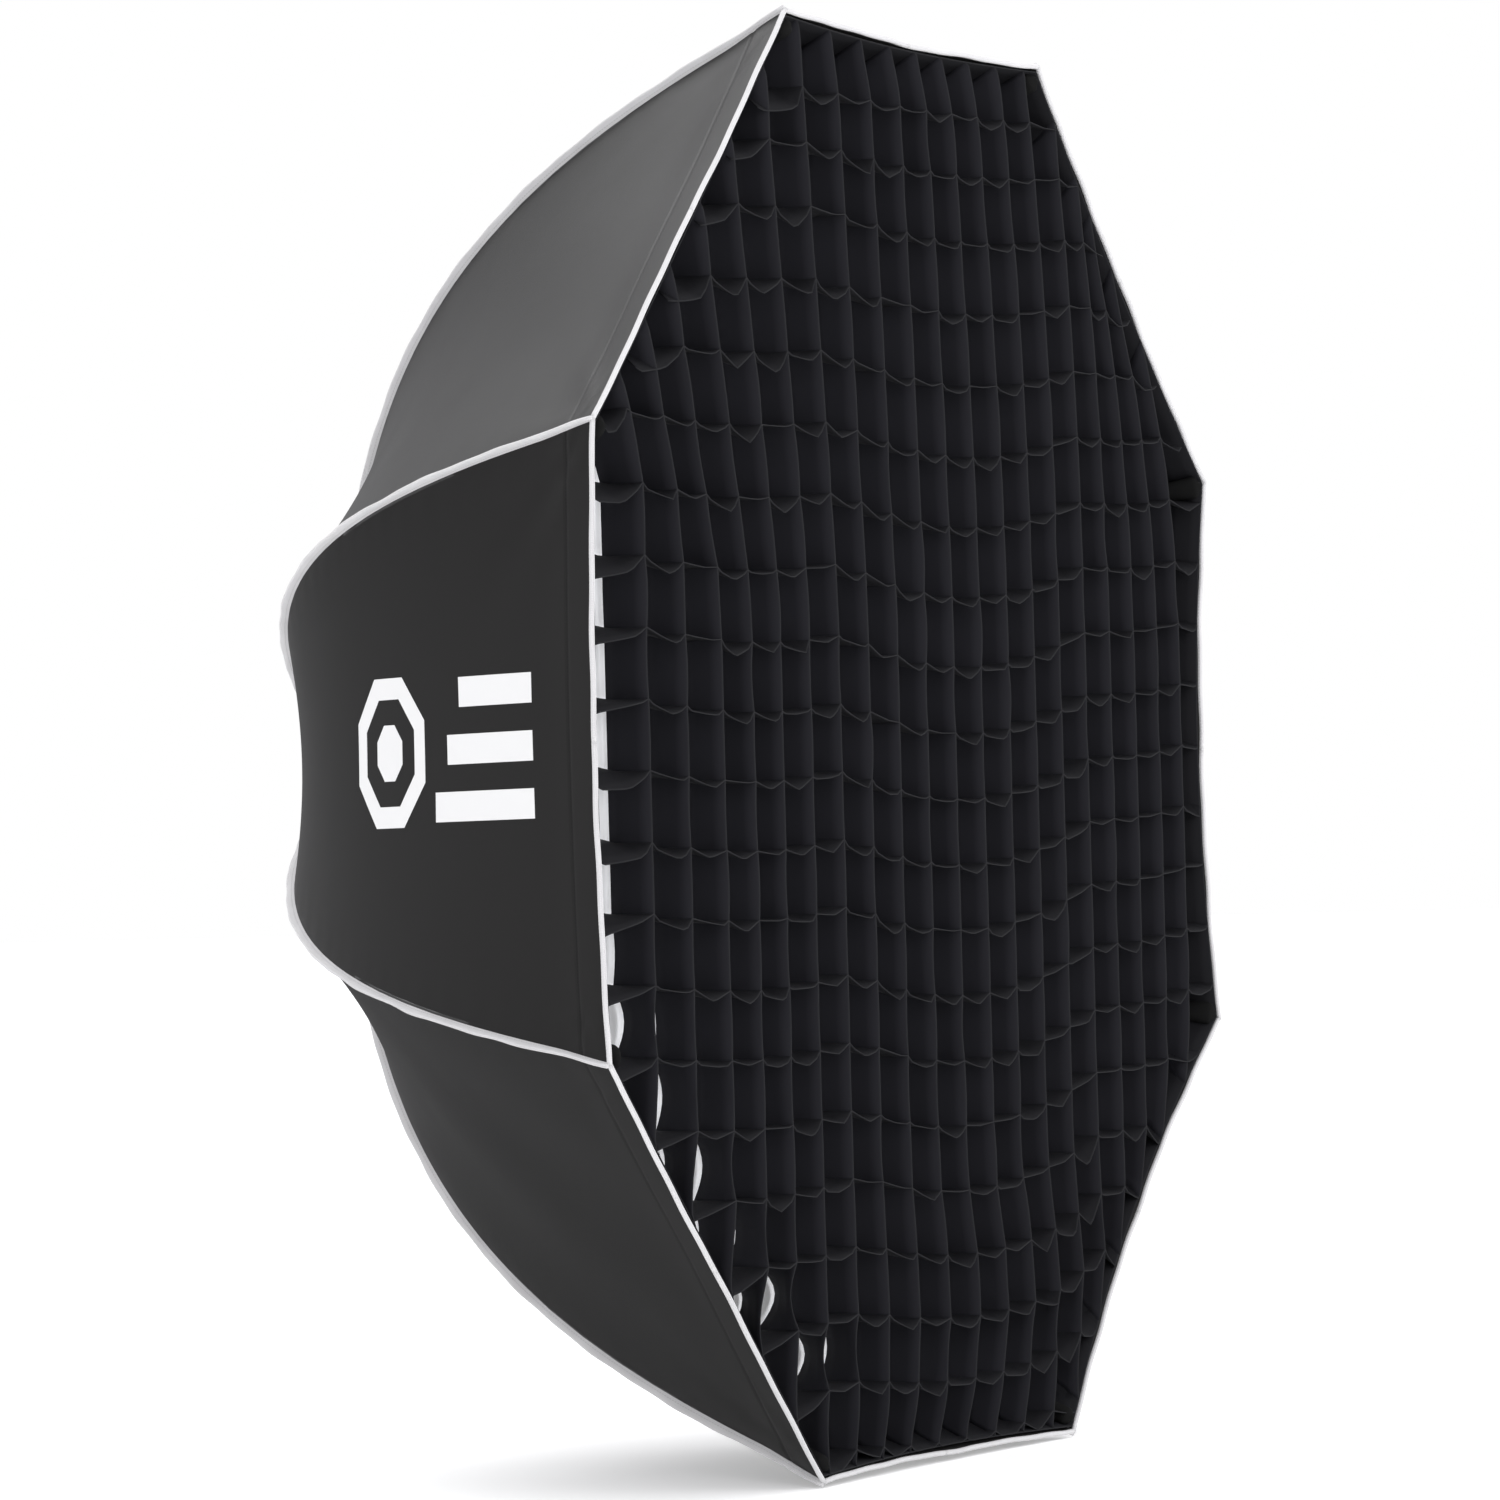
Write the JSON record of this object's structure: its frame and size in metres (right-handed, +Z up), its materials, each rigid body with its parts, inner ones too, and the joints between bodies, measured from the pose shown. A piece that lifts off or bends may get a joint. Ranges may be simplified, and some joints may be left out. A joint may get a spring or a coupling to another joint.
{
  "type": "octagonal softbox",
  "caption": "Folding octagonal softbox: hinged curved ribs carry a deep fabric shell with an inner baffle, a front diffuser, a fabric grid and a bayonet adapter.",
  "frame": {"origin": "centre of the whole object's box, on the light axis half-way between the front rim's plane and the back of the bayonet lugs", "axes": "Y is the light axis: the open front faces -Y and the light fastens on at +Y; +Z is up with one flat side of the octagon at the bottom"},
  "size_m": [1.1086, 0.533, 1.1086],
  "materials": {
    "outer_fabric": "tightly woven black nylon with a silver coated inside",
    "white_fabric": "matt white polyester",
    "grid_fabric": "matt black woven strip",
    "rod": "satin black rod",
    "steel": "plain steel",
    "cast_metal": "fine textured black powder coat on cast alloy",
    "plastic": "moulded black nylon"
  },
  "bodies": {
    "adapter": {"mount_adapter": "cast_metal", "retaining_ring": "cast_metal", "retaining_screw_1": "steel", "retaining_screw_2": "steel", "retaining_screw_3": "steel"},
    "hub": {"hub_ring": "cast_metal", "hub_cover": "plastic", "rear_sleeve": "outer_fabric", "hinge_pin_1": "steel", "hinge_pin_2": "steel", "hinge_pin_3": "steel", "hinge_pin_4": "steel", "hinge_pin_5": "steel", "hinge_pin_6": "steel", "hinge_pin_7": "steel", "hinge_pin_8": "steel"},
    "lock": {"lock_ring": "plastic"},
    "rib_1": {"rib_root_1": "cast_metal", "rib_rod_1": "rod", "tip_cap_1": "plastic"},
    "rib_2": {"rib_root_2": "cast_metal", "rib_rod_2": "rod", "tip_cap_2": "plastic"},
    "rib_3": {"rib_root_3": "cast_metal", "rib_rod_3": "rod", "tip_cap_3": "plastic"},
    "rib_4": {"rib_root_4": "cast_metal", "rib_rod_4": "rod", "tip_cap_4": "plastic"},
    "rib_5": {"rib_root_5": "cast_metal", "rib_rod_5": "rod", "tip_cap_5": "plastic"},
    "rib_6": {"rib_root_6": "cast_metal", "rib_rod_6": "rod", "tip_cap_6": "plastic"},
    "rib_7": {"rib_root_7": "cast_metal", "rib_rod_7": "rod", "tip_cap_7": "plastic"},
    "rib_8": {"rib_root_8": "cast_metal", "rib_rod_8": "rod", "tip_cap_8": "plastic"},
    "panel_1_a": {"panel_1_half_a": "outer_fabric"},
    "panel_8_b": {"panel_8_half_b": "outer_fabric"},
    "panel_2_a": {"panel_2_half_a": "outer_fabric"},
    "panel_1_b": {"panel_1_half_b": "outer_fabric"},
    "panel_3_a": {"panel_3_half_a": "outer_fabric"},
    "panel_2_b": {"panel_2_half_b": "outer_fabric"},
    "panel_4_a": {"panel_4_half_a": "outer_fabric"},
    "panel_3_b": {"panel_3_half_b": "outer_fabric"},
    "panel_5_a": {"panel_5_half_a": "outer_fabric"},
    "panel_4_b": {"panel_4_half_b": "outer_fabric"},
    "panel_6_a": {"panel_6_half_a": "outer_fabric"},
    "panel_5_b": {"panel_5_half_b": "outer_fabric"},
    "panel_7_a": {"panel_7_half_a": "outer_fabric"},
    "panel_6_b": {"panel_6_half_b": "outer_fabric"},
    "panel_8_a": {"panel_8_half_a": "outer_fabric"},
    "panel_7_b": {"panel_7_half_b": "outer_fabric"},
    "baffle": {"inner_baffle": "white_fabric"},
    "diffuser": {"front_diffuser": "white_fabric"},
    "grid": {"grid": "grid_fabric"}
  },
  "joints": [
    {"name": "ring_turn", "type": "hinge", "parent": "adapter", "child": "hub", "pos_m": [0, 0.2495, 0], "axis": [0, 1, 0], "continuous": true},
    {"name": "lock_turn", "type": "hinge", "parent": "hub", "child": "lock", "pos_m": [0, 0.2185, 0], "axis": [0, 1, 0], "range_deg": [0, 10]},
    {"name": "frame_fold", "type": "hinge", "parent": "hub", "child": "rib_1", "pos_m": [0.07576, 0.2335, 0.03138], "axis": [0.3827, 0, -0.9239], "range_deg": [0, 48]},
    {"name": "rib_2_fold", "type": "hinge", "parent": "hub", "child": "rib_2", "pos_m": [0.03138, 0.2335, 0.07576], "axis": [0.9239, 0, -0.3827], "range_deg": [0, 48]},
    {"name": "rib_3_fold", "type": "hinge", "parent": "hub", "child": "rib_3", "pos_m": [-0.03138, 0.2335, 0.07576], "axis": [0.9239, 0, 0.3827], "range_deg": [0, 48]},
    {"name": "rib_4_fold", "type": "hinge", "parent": "hub", "child": "rib_4", "pos_m": [-0.07576, 0.2335, 0.03138], "axis": [0.3827, 0, 0.9239], "range_deg": [0, 48]},
    {"name": "rib_5_fold", "type": "hinge", "parent": "hub", "child": "rib_5", "pos_m": [-0.07576, 0.2335, -0.03138], "axis": [-0.3827, 0, 0.9239], "range_deg": [0, 48]},
    {"name": "rib_6_fold", "type": "hinge", "parent": "hub", "child": "rib_6", "pos_m": [-0.03138, 0.2335, -0.07576], "axis": [-0.9239, 0, 0.3827], "range_deg": [0, 48]},
    {"name": "rib_7_fold", "type": "hinge", "parent": "hub", "child": "rib_7", "pos_m": [0.03138, 0.2335, -0.07576], "axis": [-0.9239, 0, -0.3827], "range_deg": [0, 48]},
    {"name": "rib_8_fold", "type": "hinge", "parent": "hub", "child": "rib_8", "pos_m": [0.07576, 0.2335, -0.03138], "axis": [-0.3827, 0, -0.9239], "range_deg": [0, 48]},
    {"name": "panel_1_a_tuck", "type": "hinge", "parent": "rib_1", "child": "panel_1_a", "pos_m": [0.07576, 0.2335, 0.03138], "axis": [0.2985, 0.2783, 0.9129], "range_deg": [0, 19.91], "deforming": ["panel_1_half_a"]},
    {"name": "panel_8_b_tuck", "type": "hinge", "parent": "rib_1", "child": "panel_8_b", "pos_m": [0.07576, 0.2335, 0.03138], "axis": [-0.8566, -0.2783, 0.4345], "range_deg": [0, 19.91], "deforming": ["panel_8_half_b"]},
    {"name": "panel_2_a_tuck", "type": "hinge", "parent": "rib_2", "child": "panel_2_a", "pos_m": [0.03138, 0.2335, 0.07576], "axis": [-0.4345, 0.2783, 0.8566], "range_deg": [0, 19.91], "deforming": ["panel_2_half_a"]},
    {"name": "panel_1_b_tuck", "type": "hinge", "parent": "rib_2", "child": "panel_1_b", "pos_m": [0.03138, 0.2335, 0.07576], "axis": [-0.9129, -0.2783, -0.2985], "range_deg": [0, 19.91], "deforming": ["panel_1_half_b"]},
    {"name": "panel_3_a_tuck", "type": "hinge", "parent": "rib_3", "child": "panel_3_a", "pos_m": [-0.03138, 0.2335, 0.07576], "axis": [-0.9129, 0.2783, 0.2985], "range_deg": [0, 19.91], "deforming": ["panel_3_half_a"]},
    {"name": "panel_2_b_tuck", "type": "hinge", "parent": "rib_3", "child": "panel_2_b", "pos_m": [-0.03138, 0.2335, 0.07576], "axis": [-0.4345, -0.2783, -0.8566], "range_deg": [0, 19.91], "deforming": ["panel_2_half_b"]},
    {"name": "panel_4_a_tuck", "type": "hinge", "parent": "rib_4", "child": "panel_4_a", "pos_m": [-0.07576, 0.2335, 0.03138], "axis": [-0.8566, 0.2783, -0.4345], "range_deg": [0, 19.91], "deforming": ["panel_4_half_a"]},
    {"name": "panel_3_b_tuck", "type": "hinge", "parent": "rib_4", "child": "panel_3_b", "pos_m": [-0.07576, 0.2335, 0.03138], "axis": [0.2985, -0.2783, -0.9129], "range_deg": [0, 19.91], "deforming": ["panel_3_half_b"]},
    {"name": "panel_5_a_tuck", "type": "hinge", "parent": "rib_5", "child": "panel_5_a", "pos_m": [-0.07576, 0.2335, -0.03138], "axis": [-0.2985, 0.2783, -0.9129], "range_deg": [0, 19.91], "deforming": ["panel_5_half_a"]},
    {"name": "panel_4_b_tuck", "type": "hinge", "parent": "rib_5", "child": "panel_4_b", "pos_m": [-0.07576, 0.2335, -0.03138], "axis": [0.8566, -0.2783, -0.4345], "range_deg": [0, 19.91], "deforming": ["panel_4_half_b"]},
    {"name": "panel_6_a_tuck", "type": "hinge", "parent": "rib_6", "child": "panel_6_a", "pos_m": [-0.03138, 0.2335, -0.07576], "axis": [0.4345, 0.2783, -0.8566], "range_deg": [0, 19.91], "deforming": ["panel_6_half_a"]},
    {"name": "panel_5_b_tuck", "type": "hinge", "parent": "rib_6", "child": "panel_5_b", "pos_m": [-0.03138, 0.2335, -0.07576], "axis": [0.9129, -0.2783, 0.2985], "range_deg": [0, 19.91], "deforming": ["panel_5_half_b"]},
    {"name": "panel_7_a_tuck", "type": "hinge", "parent": "rib_7", "child": "panel_7_a", "pos_m": [0.03138, 0.2335, -0.07576], "axis": [0.9129, 0.2783, -0.2985], "range_deg": [0, 19.91], "deforming": ["panel_7_half_a"]},
    {"name": "panel_6_b_tuck", "type": "hinge", "parent": "rib_7", "child": "panel_6_b", "pos_m": [0.03138, 0.2335, -0.07576], "axis": [0.4345, -0.2783, 0.8566], "range_deg": [0, 19.91], "deforming": ["panel_6_half_b"]},
    {"name": "panel_8_a_tuck", "type": "hinge", "parent": "rib_8", "child": "panel_8_a", "pos_m": [0.07576, 0.2335, -0.03138], "axis": [0.8566, 0.2783, 0.4345], "range_deg": [0, 19.91], "deforming": ["panel_8_half_a"]},
    {"name": "panel_7_b_tuck", "type": "hinge", "parent": "rib_8", "child": "panel_7_b", "pos_m": [0.07576, 0.2335, -0.03138], "axis": [-0.2985, -0.2783, 0.9129], "range_deg": [0, 19.91], "deforming": ["panel_7_half_b"]},
    {"name": "baffle_removal", "type": "slide", "parent": "hub", "child": "baffle", "axis": [0, -1, 0], "range_m": [0, 0.8388]},
    {"name": "diffuser_removal", "type": "slide", "parent": "hub", "child": "diffuser", "axis": [0, -1, 0], "range_m": [0, 1.2576]},
    {"name": "grid_removal", "type": "slide", "parent": "diffuser", "child": "grid", "axis": [0, -1, 0], "range_m": [0, 0.25]}
  ],
  "couplings": [
    {"joint": "rib_2_fold", "follows": "frame_fold", "ratio": 1},
    {"joint": "rib_3_fold", "follows": "frame_fold", "ratio": 1},
    {"joint": "rib_4_fold", "follows": "frame_fold", "ratio": 1},
    {"joint": "rib_5_fold", "follows": "frame_fold", "ratio": 1},
    {"joint": "rib_6_fold", "follows": "frame_fold", "ratio": 1},
    {"joint": "rib_7_fold", "follows": "frame_fold", "ratio": 1},
    {"joint": "rib_8_fold", "follows": "frame_fold", "ratio": 1},
    {"joint": "panel_1_a_tuck", "follows": "frame_fold", "ratio": 0.41464},
    {"joint": "panel_8_b_tuck", "follows": "frame_fold", "ratio": 0.41464},
    {"joint": "panel_2_a_tuck", "follows": "frame_fold", "ratio": 0.41464},
    {"joint": "panel_1_b_tuck", "follows": "frame_fold", "ratio": 0.41464},
    {"joint": "panel_3_a_tuck", "follows": "frame_fold", "ratio": 0.41464},
    {"joint": "panel_2_b_tuck", "follows": "frame_fold", "ratio": 0.41464},
    {"joint": "panel_4_a_tuck", "follows": "frame_fold", "ratio": 0.41464},
    {"joint": "panel_3_b_tuck", "follows": "frame_fold", "ratio": 0.41464},
    {"joint": "panel_5_a_tuck", "follows": "frame_fold", "ratio": 0.41464},
    {"joint": "panel_4_b_tuck", "follows": "frame_fold", "ratio": 0.41464},
    {"joint": "panel_6_a_tuck", "follows": "frame_fold", "ratio": 0.41464},
    {"joint": "panel_5_b_tuck", "follows": "frame_fold", "ratio": 0.41464},
    {"joint": "panel_7_a_tuck", "follows": "frame_fold", "ratio": 0.41464},
    {"joint": "panel_6_b_tuck", "follows": "frame_fold", "ratio": 0.41464},
    {"joint": "panel_8_a_tuck", "follows": "frame_fold", "ratio": 0.41464},
    {"joint": "panel_7_b_tuck", "follows": "frame_fold", "ratio": 0.41464},
    {"joint": "baffle_removal", "follows": "frame_fold", "m_per_rad": 1},
    {"joint": "diffuser_removal", "follows": "frame_fold", "m_per_rad": 1.5}
  ]
}
